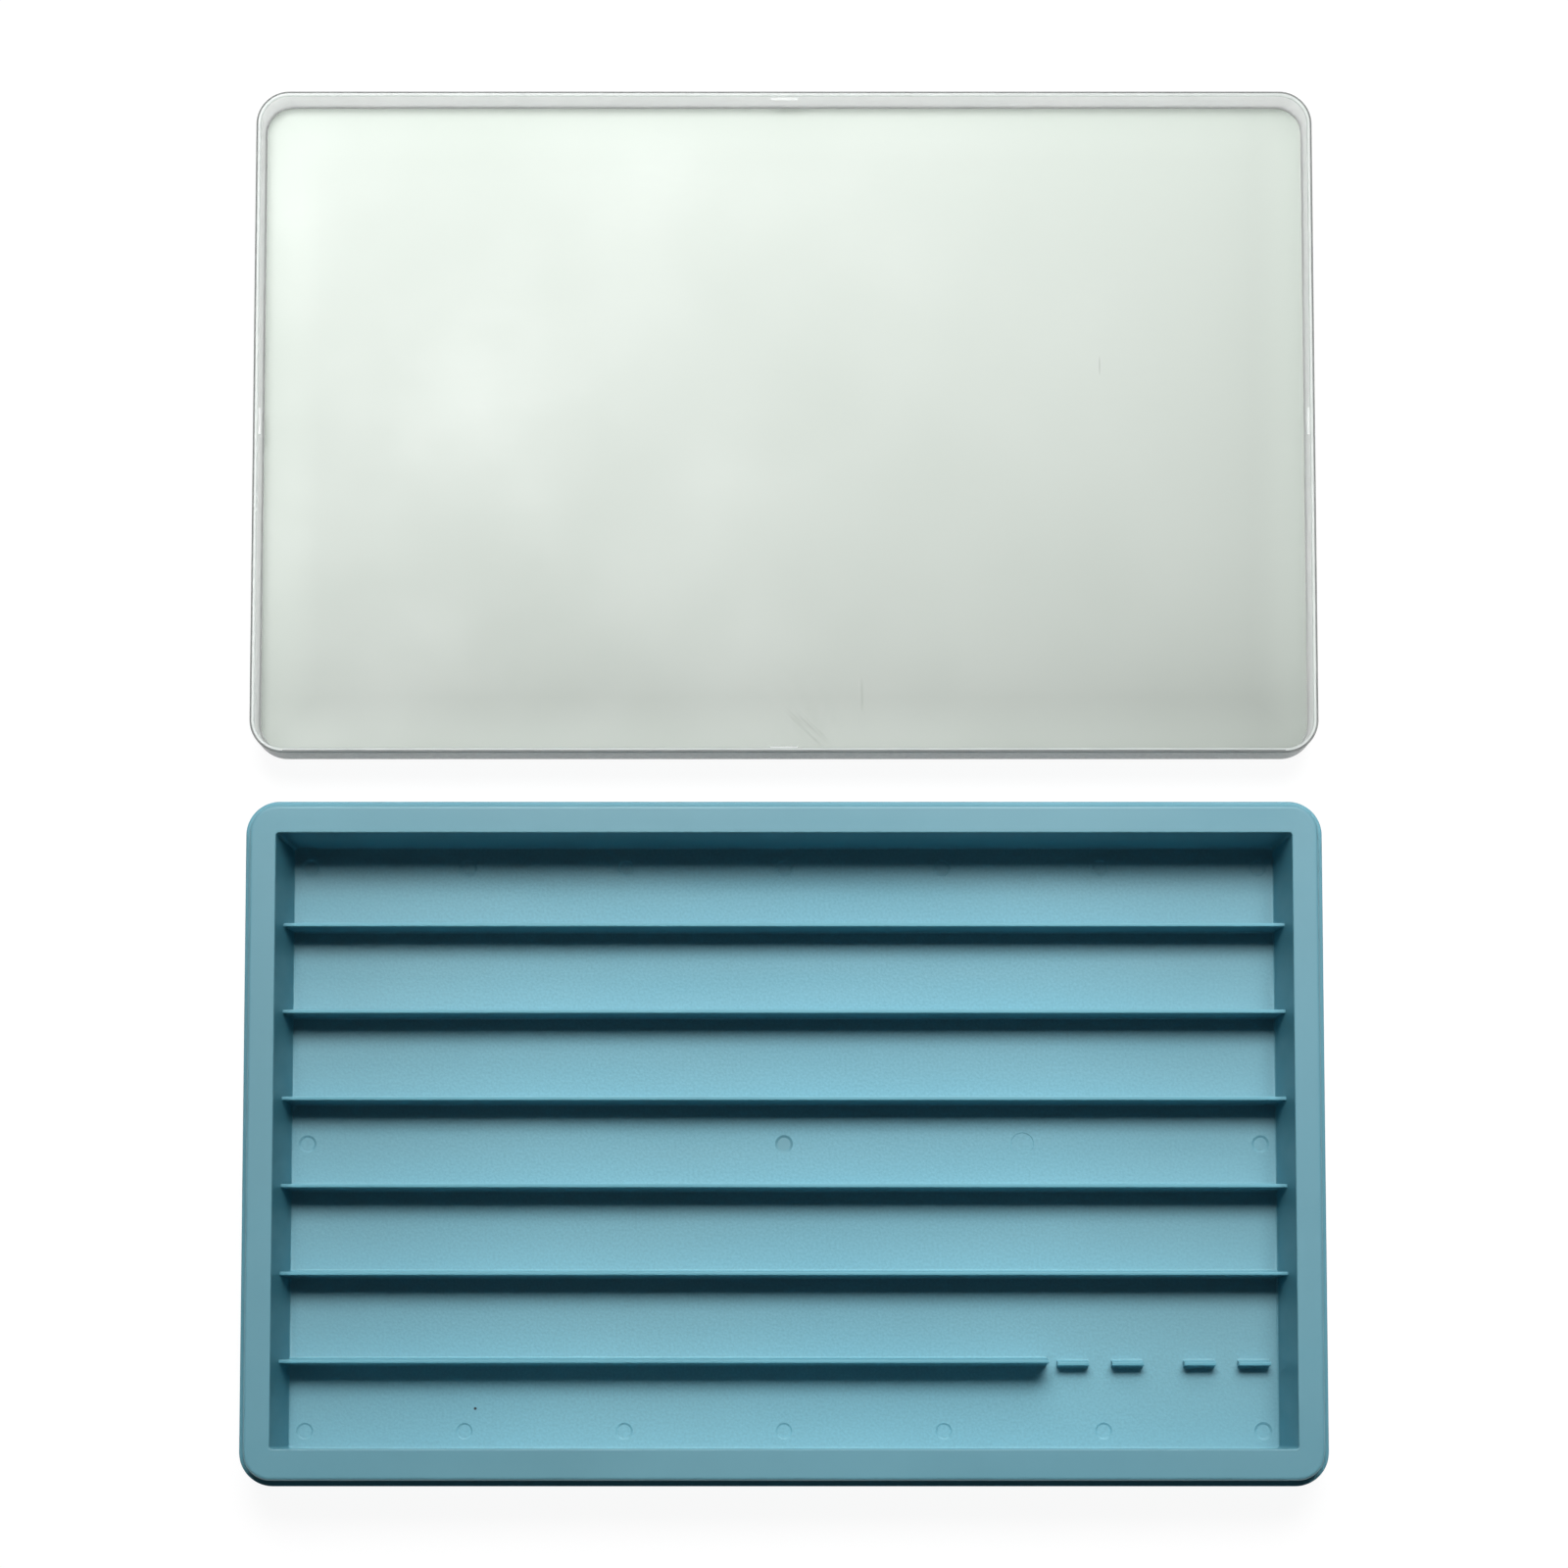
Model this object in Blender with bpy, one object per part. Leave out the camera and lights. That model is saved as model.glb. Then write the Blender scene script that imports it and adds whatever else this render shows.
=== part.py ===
"""A wet palette in four pieces, laid open on a table.

The ribbed base tray stands in front, with the shallow lid turned inside up
behind it.  The lid holds the damp sponge sheet and the palette paper, so it
is the palette while the box is open.  Turned over about the X axis between
the two, it comes down onto the ledge round the tray's rim and snaps shut.

The origin is on the table, under that turning axis.  +X is to the right,
+Y runs back to the lid and +Z is up.  Sizes are in millimetres until a mesh
is made, which scales them by MM.
"""
import math

import bmesh
import bpy

MM = 0.001

# The box seen from above: both pieces share this outline.
LENGTH = 272.0
WIDTH = 172.0
CORNER_R = 8.5
GAP_BETWEEN = 13.0
RUNNING_GAP = 0.3

# The base tray.
TRAY_H = 24.0
LEDGE_Z = 18.0
LEDGE_W = 1.6
RIM_FLAT_X = 6.6
RIM_FLAT_Y = 7.0
FLOOR_Z = 4.0
WALL = 1.8
DRAFT_X = 2.2
DRAFT_Y = 1.6
OPENING_R = 0.8
EDGE_R = 0.9
SMALL_CHAMFER = 0.3

# The ribs that part the tray into channels, and the tabs of the brush rest.
RIB_COUNT = 6
RIB_PITCH = 22.0
RIB_TOP_Z = 15.0
RIB_BASE_T = 1.5
RIB_TOP_T = 0.9
ROOT_DEPTH = 0.8
FRONT_RIB_END_X = 66.5
TAB_CENTRE_X = 95.9
TAB_OFFSETS = (-22.9, -9.1, 9.1, 22.9)
TAB_L = 8.0
TAB_TOP_Z = 9.5

# The lid, and the beads that snap it to the tray.
LID_H = 14.5
LID_PLATE = 1.5
LID_WALL = 1.3
LID_EDGE_R = 2.5
LID_COVE = 1.2
BEAD_L = 7.0
BEAD_H = 1.4
BEAD_OUT = 0.6
BEAD_Z = 12.3
RECESS_MARGIN = 0.5

# The sponge sheet and the palette paper in the lid.
SPONGE_T = 2.4
SPONGE_SIDE_GAP = 1.3
SPONGE_R = 6.0
PAPER_T = 0.25
PAPER_SIDE_GAP = 0.5
PAPER_R = 6.7

CORNER_STEPS = 8
FILLET_STEPS = 4

TRAY_Y = -(GAP_BETWEEN + WIDTH) / 2
LID_Y = -TRAY_Y
# Closed, the lid's edge sits a running gap above the ledge.
AXIS_Z = (LEDGE_Z + RUNNING_GAP + LID_H) / 2


def clear_scene():
    for old in list(bpy.data.objects):
        bpy.data.objects.remove(old, do_unlink=True)


def plastic(name, colour, roughness):
    """One plain Principled material, with no metal in it."""
    material = bpy.data.materials.new(name)
    material.use_nodes = True
    shader = material.node_tree.nodes["Principled BSDF"]
    shader.inputs["Base Color"].default_value = (*colour, 1.0)
    shader.inputs["Roughness"].default_value = roughness
    shader.inputs["Metallic"].default_value = 0.0
    material.diffuse_color = (*colour, 1.0)
    return material


def rounded_rectangle(half_x, half_y, radius, z):
    """The corners' arc points, counter-clockwise from the +X +Y corner."""
    points = []
    centres = ((1, 1), (-1, 1), (-1, -1), (1, -1))
    for quarter, (sx, sy) in enumerate(centres):
        for step in range(CORNER_STEPS + 1):
            angle = math.radians(90.0 * (quarter + step / CORNER_STEPS))
            x = sx * (half_x - radius) + radius * math.cos(angle)
            y = sy * (half_y - radius) + radius * math.sin(angle)
            points.append((x, y, z))
    return points


def loft(stations, centre_y):
    """One closed body through rounded rectangles, with a face over each end.

    The stations are (half x, half y, corner radius, z) and run from the
    middle of the upper side outwards, and then back to the middle below.
    """
    mesh = bmesh.new()
    rings = []
    for station in stations:
        ring = []
        for x, y, z in rounded_rectangle(*station):
            ring.append(mesh.verts.new((x * MM, (y + centre_y) * MM, z * MM)))
        rings.append(ring)
    count = len(rings[0])
    for upper, lower in zip(rings, rings[1:]):
        for i in range(count):
            j = (i + 1) % count
            mesh.faces.new((upper[i], lower[i], lower[j], upper[j]))
    mesh.faces.new(rings[0])
    mesh.faces.new(list(reversed(rings[-1])))
    return mesh


def arc_stations(half_x, half_y, corner, radius, start_z, end_z):
    """A quarter-round edge inside an outline, from one level to the other.

    The arc leaves the outline's full size at start_z and is a radius smaller
    at end_z, or the other way round where end_z is the outline's level.
    """
    stations = []
    for step in range(1, FILLET_STEPS):
        angle = math.radians(90.0 * step / FILLET_STEPS)
        inset = radius * (1 - math.cos(angle))
        z = start_z + (end_z - start_z) * math.sin(angle)
        stations.append((half_x - inset, half_y - inset, corner - inset, z))
    return stations


def prism(mesh, outline, start, end, place):
    """Add an outline in two coordinates, extruded from start to end.

    place turns (u, v, along) into a point in millimetres.
    """
    near = [mesh.verts.new([c * MM for c in place(u, v, start)]) for u, v in outline]
    far = [mesh.verts.new([c * MM for c in place(u, v, end)]) for u, v in outline]
    count = len(outline)
    mesh.faces.new(near)
    mesh.faces.new(list(reversed(far)))
    for i in range(count):
        j = (i + 1) % count
        mesh.faces.new((near[j], near[i], far[i], far[j]))


def make_object(name, mesh, material, origin, parent=None):
    """Turn a bmesh in world space into an object with its origin at a point."""
    bmesh.ops.recalc_face_normals(mesh, faces=mesh.faces)
    bmesh.ops.translate(mesh, verts=mesh.verts, vec=[-c * MM for c in origin])
    data = bpy.data.meshes.new(name)
    mesh.to_mesh(data)
    mesh.free()
    data.shade_smooth()
    data.set_sharp_from_angle(angle=math.radians(35))
    if material is not None:
        data.materials.append(material)
    piece = bpy.data.objects.new(name, data)
    bpy.context.scene.collection.objects.link(piece)
    location = list(origin)
    if parent is not None:
        piece.parent = parent
        location = [a - b / MM for a, b in zip(origin, parent.matrix_world.translation)]
    piece.location = [c * MM for c in location]
    bpy.context.view_layer.update()
    return piece


def join_or_cut(target, mesh, name, operation):
    """Add a Boolean whose operand is a hidden guide made from a bmesh."""
    guide = make_object(name, mesh, None, (0.0, 0.0, 0.0))
    guide.hide_render = True
    guide.display_type = "WIRE"
    modifier = target.modifiers.new(name, "BOOLEAN")
    modifier.operation = operation
    modifier.solver = "EXACT"
    modifier.object = guide


def mid_edges(half_x, half_y, centre_y):
    """The middle of each side: a function of (across, z, along) for each.

    across is measured outwards from the outline.
    """
    def left(across, z, along):
        return (-half_x - across, centre_y + along, z)

    def right(across, z, along):
        return (half_x + across, centre_y - along, z)

    def back(across, z, along):
        return (along, centre_y + half_y + across, z)

    def front(across, z, along):
        return (-along, centre_y - half_y - across, z)

    return (left, right, back, front)


def tray_stations():
    """The tray's shell: opening, rim, ledge, outer wall, and the hollow below."""
    half_x = LENGTH / 2
    half_y = WIDTH / 2
    rim_x = half_x - LEDGE_W
    rim_y = half_y - LEDGE_W
    rim_r = CORNER_R - LEDGE_W
    open_x = rim_x - RIM_FLAT_X
    open_y = rim_y - RIM_FLAT_Y
    foot_x = open_x - DRAFT_X + WALL
    foot_y = open_y - DRAFT_Y + WALL
    c = SMALL_CHAMFER
    stations = [
        (open_x - DRAFT_X, open_y - DRAFT_Y, OPENING_R, FLOOR_Z),
        (open_x, open_y, OPENING_R, TRAY_H - c),
        (open_x + c, open_y + c, OPENING_R + c, TRAY_H),
        (rim_x - EDGE_R, rim_y - EDGE_R, rim_r - EDGE_R, TRAY_H),
    ]
    rim_edge = arc_stations(rim_x, rim_y, rim_r, EDGE_R, TRAY_H - EDGE_R, TRAY_H)
    stations += reversed(rim_edge)
    stations += [
        (rim_x, rim_y, rim_r, TRAY_H - EDGE_R),
        (rim_x, rim_y, rim_r, LEDGE_Z),
        (half_x - c, half_y - c, CORNER_R - c, LEDGE_Z),
        (half_x, half_y, CORNER_R, LEDGE_Z - c),
        (half_x, half_y, CORNER_R, c),
        (half_x - c, half_y - c, CORNER_R - c, 0.0),
        (half_x - WALL, half_y - WALL, CORNER_R - WALL, 0.0),
        (half_x - WALL, half_y - WALL, CORNER_R - WALL, LEDGE_Z - WALL),
        (rim_x - WALL, rim_y - WALL, rim_r - WALL, LEDGE_Z - WALL),
        (rim_x - WALL, rim_y - WALL, rim_r - WALL, TRAY_H - WALL),
        (open_x + WALL, open_y + WALL, OPENING_R + WALL, TRAY_H - WALL),
        (foot_x, foot_y, OPENING_R + WALL, FLOOR_Z - WALL),
    ]
    return stations


def upright_profile(base_t, top_t, top_z):
    """A rib's section, a little wider at its root, sunk into the floor."""
    bottom = FLOOR_Z - ROOT_DEPTH
    return [
        (-base_t / 2, bottom),
        (base_t / 2, bottom),
        (base_t / 2, FLOOR_Z),
        (top_t / 2, top_z),
        (-top_t / 2, top_z),
        (-base_t / 2, FLOOR_Z),
    ]


def ribs_and_tabs():
    """Six long ribs, the front one cut short, and four tabs in line with it."""
    mesh = bmesh.new()
    wall_x = LENGTH / 2 - LEDGE_W - RIM_FLAT_X - ROOT_DEPTH / 2
    rib = upright_profile(RIB_BASE_T, RIB_TOP_T, RIB_TOP_Z)
    front_y = TRAY_Y - RIB_PITCH * (RIB_COUNT - 1) / 2
    for index in range(RIB_COUNT):
        y = front_y + index * RIB_PITCH
        end = FRONT_RIB_END_X if index == 0 else wall_x
        prism(mesh, rib, -wall_x, end, lambda u, v, along, y=y: (along, y + u, v))
    tab = upright_profile(RIB_BASE_T, RIB_TOP_T, TAB_TOP_Z)
    for offset in TAB_OFFSETS:
        start = TAB_CENTRE_X + offset - TAB_L / 2
        prism(mesh, tab, start, start + TAB_L,
              lambda u, v, along: (along, front_y + u, v))
    return mesh


def snap_recesses():
    """Shallow pockets in the upper rim's outer face, one on each side."""
    mesh = bmesh.new()
    depth = BEAD_OUT - RUNNING_GAP + RECESS_MARGIN
    middle_z = 2 * AXIS_Z - BEAD_Z
    half_h = BEAD_H / 2 + RECESS_MARGIN
    half_l = BEAD_L / 2 + RECESS_MARGIN
    outside = LEDGE_W / 2
    pocket = [
        (-depth, middle_z - half_h),
        (outside, middle_z - half_h),
        (outside, middle_z + half_h),
        (-depth, middle_z + half_h),
    ]
    rim_x = LENGTH / 2 - LEDGE_W
    rim_y = WIDTH / 2 - LEDGE_W
    for side in mid_edges(rim_x, rim_y, TRAY_Y):
        prism(mesh, pocket, -half_l, half_l, side)
    return mesh


def lid_stations():
    """The lid, open side up: the inside, the edge, and the rounded outer face."""
    half_x = LENGTH / 2
    half_y = WIDTH / 2
    in_x = half_x - LID_WALL
    in_y = half_y - LID_WALL
    in_r = CORNER_R - LID_WALL
    c = SMALL_CHAMFER
    stations = [(in_x - LID_COVE, in_y - LID_COVE, in_r - LID_COVE, LID_PLATE)]
    cove_z = LID_PLATE + LID_COVE
    for step in range(1, FILLET_STEPS):
        angle = math.radians(90.0 * step / FILLET_STEPS)
        inset = LID_COVE * (1 - math.sin(angle))
        z = cove_z - LID_COVE * math.cos(angle)
        stations.append((in_x - inset, in_y - inset, in_r - inset, z))
    stations += [
        (in_x, in_y, in_r, cove_z),
        (in_x, in_y, in_r, LID_H),
        (half_x - c, half_y - c, CORNER_R - c, LID_H),
        (half_x, half_y, CORNER_R, LID_H - c),
        (half_x, half_y, CORNER_R, LID_EDGE_R),
    ]
    stations += arc_stations(half_x, half_y, CORNER_R, LID_EDGE_R, LID_EDGE_R, 0.0)
    stations.append((half_x - LID_EDGE_R, half_y - LID_EDGE_R, CORNER_R - LID_EDGE_R, 0.0))
    return stations


def snap_beads():
    """Low round-nosed beads inside the lid's wall, one on each side."""
    mesh = bmesh.new()
    root = LID_WALL / 2
    bead = [
        (root, BEAD_Z - BEAD_H / 2),
        (root, BEAD_Z + BEAD_H / 2),
        (0.0, BEAD_Z + BEAD_H / 2),
        (-BEAD_OUT, BEAD_Z + BEAD_H / 6),
        (-BEAD_OUT, BEAD_Z - BEAD_H / 6),
        (0.0, BEAD_Z - BEAD_H / 2),
    ]
    in_x = LENGTH / 2 - LID_WALL
    in_y = WIDTH / 2 - LID_WALL
    for side in mid_edges(in_x, in_y, LID_Y):
        prism(mesh, bead, -BEAD_L / 2, BEAD_L / 2, side)
    return mesh


def sheet_stations(side_gap, corner, bottom, thickness):
    """A flat sheet that lies in the lid, so far from its wall on each side."""
    half_x = LENGTH / 2 - LID_WALL - side_gap
    half_y = WIDTH / 2 - LID_WALL - side_gap
    return [
        (half_x, half_y, corner, bottom + thickness),
        (half_x, half_y, corner, bottom),
    ]


def build_tray():
    material = plastic("blue_plastic", (0.20, 0.42, 0.50), 0.55)
    tray = make_object("base_tray", loft(tray_stations(), TRAY_Y), material,
                       (0.0, TRAY_Y, 0.0))
    join_or_cut(tray, ribs_and_tabs(), "ribs_guide", "UNION")
    join_or_cut(tray, snap_recesses(), "recess_cutter", "DIFFERENCE")


def build_lid():
    material = plastic("frosted_plastic", (0.66, 0.72, 0.68), 0.45)
    lid = make_object("lid", loft(lid_stations(), LID_Y), material, (0.0, 0.0, AXIS_Z))
    join_or_cut(lid, snap_beads(), "beads_guide", "UNION")
    return lid


def build_sheets(lid):
    """The sponge sheet on the lid's floor, and the palette paper on it."""
    sponge_z = LID_PLATE + RUNNING_GAP
    paper_z = sponge_z + SPONGE_T + RUNNING_GAP
    sponge_material = plastic("sponge", (0.78, 0.79, 0.72), 0.95)
    sponge_shape = loft(sheet_stations(SPONGE_SIDE_GAP, SPONGE_R, sponge_z, SPONGE_T), LID_Y)
    sponge = make_object("sponge_sheet", sponge_shape, sponge_material,
                         (0.0, LID_Y, sponge_z), parent=lid)
    paper_material = plastic("palette_paper", (0.72, 0.77, 0.72), 0.6)
    paper_shape = loft(sheet_stations(PAPER_SIDE_GAP, PAPER_R, paper_z, PAPER_T), LID_Y)
    make_object("palette_paper", paper_shape, paper_material,
                (0.0, LID_Y, paper_z), parent=sponge)


def main():
    clear_scene()
    build_tray()
    lid = build_lid()
    build_sheets(lid)


main()
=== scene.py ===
import math
import random

import bmesh
import bpy
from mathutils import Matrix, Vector, noise


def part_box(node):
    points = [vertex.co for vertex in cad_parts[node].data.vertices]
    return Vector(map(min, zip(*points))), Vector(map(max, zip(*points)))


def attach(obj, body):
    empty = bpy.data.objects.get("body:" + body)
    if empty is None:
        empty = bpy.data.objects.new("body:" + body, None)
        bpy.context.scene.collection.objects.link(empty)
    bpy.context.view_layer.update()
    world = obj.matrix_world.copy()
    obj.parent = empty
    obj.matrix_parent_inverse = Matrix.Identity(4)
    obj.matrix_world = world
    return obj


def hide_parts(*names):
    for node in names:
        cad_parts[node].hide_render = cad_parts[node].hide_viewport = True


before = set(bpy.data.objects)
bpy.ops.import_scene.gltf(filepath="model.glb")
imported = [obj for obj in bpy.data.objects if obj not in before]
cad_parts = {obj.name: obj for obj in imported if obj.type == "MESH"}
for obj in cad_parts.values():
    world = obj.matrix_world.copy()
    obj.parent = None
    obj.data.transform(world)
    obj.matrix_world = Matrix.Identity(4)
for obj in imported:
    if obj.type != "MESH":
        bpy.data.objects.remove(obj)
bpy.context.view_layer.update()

MM = 0.001


# ---------------------------------------------------------------- sizes, in millimetres
TRAY_LO, TRAY_HI = [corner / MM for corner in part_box("base_tray")]
LID_LO, LID_HI = [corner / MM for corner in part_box("lid")]
SPONGE_LO, SPONGE_HI = [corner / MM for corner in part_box("sponge_sheet")]
PAPER_LO, PAPER_HI = [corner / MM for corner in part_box("palette_paper")]

CORNER_R = 8.5
CORNER_STEPS = 20

LEDGE_Z = 18.0
LEDGE_W = 1.6
RIM_FLAT_X = 6.6
RIM_FLAT_Y = 7.0
DRAFT_X = 2.6
DRAFT_Y = 1.6
FLOOR_Z = 4.0
WALL = 1.8
OPENING_R = 0.8
RIM_EDGE_R = 0.9
LIP_R = 0.35
FRONT_LIP_IN = 0.8
FRONT_FLOOR_OUT = 1.2
FLOOR_COVE_R = 0.5

RIB_COUNT = 6
RIB_PITCH = 22.0
RIB_TOP_Z = 15.0
RIB_BASE_T = 1.4
RIB_TOP_T = 0.95
RIB_ROOT_R = 0.7
RIB_NOSE_R = 0.25
RIB_SINK = 0.7
FRONT_RIB_END_X = 66.5
TAB_CENTRE_X = 95.9
TAB_OFFSETS = (-22.9, -9.1, 9.1, 22.9)
TAB_L = 8.0
TAB_TOP_Z = 8.4
TAB_T = 1.3
TAB_FORWARD = 0.6

PIN_R = 2.25
PIN_SLOPE = 0.60
PIN_DEPTH = 0.34
PIN_PITCH_X = 40.4
PIN_BACK_ROW_Y = 70.6
PIN_FRONT_ROW_Y = -72.6

WEB_T = 1.0
WEB_LOW_Z = 1.2
WEB_PITCH = 44.0

LID_PLATE = 1.5
LID_WALL = 1.3
LID_EDGE_R = 2.5
LID_COVE_R = 1.2
LID_RIM_R = 0.55
BEAD_L = 7.0
BEAD_H = 1.4
BEAD_OUT = 0.6
BEAD_Z = 12.3
RECESS_MARGIN = 0.5


# ---------------------------------------------------------------- mesh helpers
def rounded_rectangle(half_x, half_y, radius, steps=CORNER_STEPS):
    """Corner arcs of a rounded rectangle, counter-clockwise from the +X +Y corner."""
    points = []
    for quarter, (sx, sy) in enumerate(((1, 1), (-1, 1), (-1, -1), (1, -1))):
        for step in range(steps + 1):
            angle = math.radians(90.0 * (quarter + step / steps))
            points.append((sx * (half_x - radius) + radius * math.cos(angle),
                           sy * (half_y - radius) + radius * math.sin(angle)))
    return points


def soften(stations, steps=5):
    """Round the profile's corners. A station is (half x, half y, corner r, z, edge r)."""
    result = [stations[0][:4]]
    for before, here, after in zip(stations, stations[1:], stations[2:]):
        edge = here[4]
        if edge == 0:
            result.append(here[:4])
            continue
        ends = []
        for other in (before, after):
            run = math.hypot(other[0] - here[0], other[3] - here[3])
            share = min(edge / run, 0.499)
            ends.append([h + (o - h) * share for h, o in zip(here[:4], other[:4])])
        for step in range(steps + 1):
            t = step / steps
            weights = ((1 - t) ** 2, 2 * t * (1 - t), t ** 2)
            result.append(tuple(
                weights[0] * a + weights[1] * h + weights[2] * b
                for a, h, b in zip(ends[0], here[:4], ends[1])))
    result.append(stations[-1][:4])
    return result


def loft(stations, centre_y):
    """One closed body through rounded rectangles, with a face over each end."""
    mesh = bmesh.new()
    rings = []
    for half_x, half_y, radius, z in stations:
        ring = []
        for x, y in rounded_rectangle(half_x, half_y, radius):
            ring.append(mesh.verts.new((x * MM, (y + centre_y) * MM, z * MM)))
        rings.append(ring)
    count = len(rings[0])
    for upper, lower in zip(rings, rings[1:]):
        for i in range(count):
            j = (i + 1) % count
            mesh.faces.new((upper[i], lower[i], lower[j], upper[j]))
    mesh.faces.new(rings[0])
    mesh.faces.new(list(reversed(rings[-1])))
    return mesh


def prism(mesh, outline, start, end, place):
    """Add an outline in two coordinates, extruded from start to end."""
    near = [mesh.verts.new([c * MM for c in place(u, v, start)]) for u, v in outline]
    far = [mesh.verts.new([c * MM for c in place(u, v, end)]) for u, v in outline]
    count = len(outline)
    mesh.faces.new(near)
    mesh.faces.new(list(reversed(far)))
    for i in range(count):
        j = (i + 1) % count
        mesh.faces.new((near[j], near[i], far[i], far[j]))


def frustum(mesh, centre, low_r, high_r, low_z, high_z, sides=48):
    """Add a round disc whose radius changes from its lower face to its upper one."""
    rings = []
    for radius, z in ((low_r, low_z), (high_r, high_z)):
        ring = []
        for i in range(sides):
            angle = 2 * math.pi * i / sides
            ring.append(mesh.verts.new(((centre[0] + radius * math.cos(angle)) * MM,
                                        (centre[1] + radius * math.sin(angle)) * MM,
                                        z * MM)))
        rings.append(ring)
    mesh.faces.new(list(reversed(rings[0])))
    mesh.faces.new(rings[1])
    for i in range(sides):
        j = (i + 1) % sides
        mesh.faces.new((rings[0][i], rings[0][j], rings[1][j], rings[1][i]))


def to_object(name, mesh):
    """A new object in the scene from a bmesh, its normals facing out."""
    bmesh.ops.recalc_face_normals(mesh, faces=mesh.faces)
    data = bpy.data.meshes.new(name)
    mesh.to_mesh(data)
    mesh.free()
    piece = bpy.data.objects.new(name, data)
    bpy.context.scene.collection.objects.link(piece)
    return piece


def join_or_cut(target, mesh, operation):
    """Apply a Boolean with a mesh that isn't kept."""
    tool = to_object("boolean_tool", mesh)
    modifier = target.modifiers.new("boolean", "BOOLEAN")
    modifier.operation = operation
    modifier.solver = "EXACT"
    modifier.object = tool
    apply_modifiers(target)
    bpy.data.objects.remove(tool, do_unlink=True)


def apply_modifiers(target):
    """Keep the evaluated mesh in place of the modifiers."""
    graph = bpy.context.evaluated_depsgraph_get()
    data = bpy.data.meshes.new_from_object(target.evaluated_get(graph))
    target.modifiers.clear()
    target.data = data


def shade(piece, angle=28.0):
    """Smooth fillets between true flats."""
    piece.data.shade_smooth()
    piece.data.set_sharp_from_angle(angle=math.radians(angle))
    normals = piece.modifiers.new("flat faces stay flat", "WEIGHTED_NORMAL")
    normals.keep_sharp = True
    normals.weight = 100


def mark_outside(piece, low, high, depth, under_z=0.0):
    """Give the second material, a darker copy that paints shade, to faces near the outline or
    below a height.
    """
    centre_y = (low.y + high.y) / 2
    flat_x = (high.x - low.x) / 2 - CORNER_R
    flat_y = (high.y - low.y) / 2 - CORNER_R
    for face in piece.data.polygons:
        place = face.center / MM
        across = max(abs(place.x) - flat_x, 0.0)
        along = max(abs(place.y - centre_y) - flat_y, 0.0)
        outside = math.hypot(across, along) > CORNER_R - depth or place.z < under_z
        face.material_index = 1 if outside else 0


def mid_edges(half_x, half_y, centre_y):
    """For the middle of each side, a function of (outwards, z, along) to a point."""
    def left(across, z, along):
        return (-half_x - across, centre_y + along, z)

    def right(across, z, along):
        return (half_x + across, centre_y - along, z)

    def back(across, z, along):
        return (along, centre_y + half_y + across, z)

    def front(across, z, along):
        return (-along, centre_y - half_y - across, z)

    return (left, right, back, front)


# ---------------------------------------------------------------- the tray
def tray_shape():
    """The tray's skin from the floor up the wall, over the rim and down to the hollow."""
    centre_y = (TRAY_LO.y + TRAY_HI.y) / 2
    half_x = (TRAY_HI.x - TRAY_LO.x) / 2
    half_y = (TRAY_HI.y - TRAY_LO.y) / 2
    top_z = TRAY_HI.z
    rim_x = half_x - LEDGE_W
    rim_y = half_y - LEDGE_W
    rim_r = CORNER_R - LEDGE_W
    open_x = rim_x - RIM_FLAT_X
    open_y = rim_y - RIM_FLAT_Y
    floor_x = open_x - DRAFT_X
    floor_y = open_y - DRAFT_Y
    cove_x = floor_x - 3 * FLOOR_COVE_R
    cove_y = floor_y - 3 * FLOOR_COVE_R
    in_r = CORNER_R - WALL
    rim_in_r = rim_r - WALL
    hollow_r = OPENING_R + WALL
    ledge_under = LEDGE_Z - WALL
    rim_under = top_z - WALL
    floor_under = FLOOR_Z - WALL
    stations = soften([
        (cove_x, cove_y, OPENING_R, FLOOR_Z, 0),
        (floor_x, floor_y, OPENING_R, FLOOR_Z, FLOOR_COVE_R),
        (open_x, open_y, OPENING_R, top_z, LIP_R),
        (rim_x, rim_y, rim_r, top_z, RIM_EDGE_R),
        (rim_x, rim_y, rim_r, LEDGE_Z, 0.25),
        (half_x, half_y, CORNER_R, LEDGE_Z, 0.35),
        (half_x, half_y, CORNER_R, 0.0, 0.5),
        (half_x - WALL, half_y - WALL, in_r, 0.0, 0.4),
        (half_x - WALL, half_y - WALL, in_r, ledge_under, 0.3),
        (rim_x - WALL, rim_y - WALL, rim_in_r, ledge_under, 0.3),
        (rim_x - WALL, rim_y - WALL, rim_in_r, rim_under, 0.4),
        (open_x + WALL, open_y + WALL, hollow_r, rim_under, 0.4),
        (floor_x + WALL, floor_y + WALL, hollow_r, floor_under, 0.6),
        (floor_x - WALL, floor_y - WALL, hollow_r, floor_under, 0),
    ])
    return loft(stations, centre_y)


def front_shift(z):
    """How far the front wall stands forward of a mirror of the back one, at a height."""
    share = (TRAY_HI.z - z) / (TRAY_HI.z - FLOOR_Z)
    return FRONT_FLOOR_OUT * share - FRONT_LIP_IN * (1.0 - share)


def upright_front(mesh, centre_y):
    """Stand the front wall almost upright and widen the rim above it, as photographed."""
    reach = (TRAY_HI.y - TRAY_LO.y) / 2 - LEDGE_W - RIM_FLAT_Y + WALL + 0.2
    for vertex in mesh.verts:
        ahead = centre_y - vertex.co.y / MM
        if 0 < ahead < reach:
            vertex.co.y -= front_shift(vertex.co.z / MM) * MM


def arc(centre_u, centre_v, radius, start, end, steps=5):
    """Points on a round, by angles in degrees, both ends included."""
    points = []
    for step in range(steps + 1):
        angle = math.radians(start + (end - start) * step / steps)
        points.append((centre_u + radius * math.cos(angle),
                       centre_v + radius * math.sin(angle)))
    return points


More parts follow.
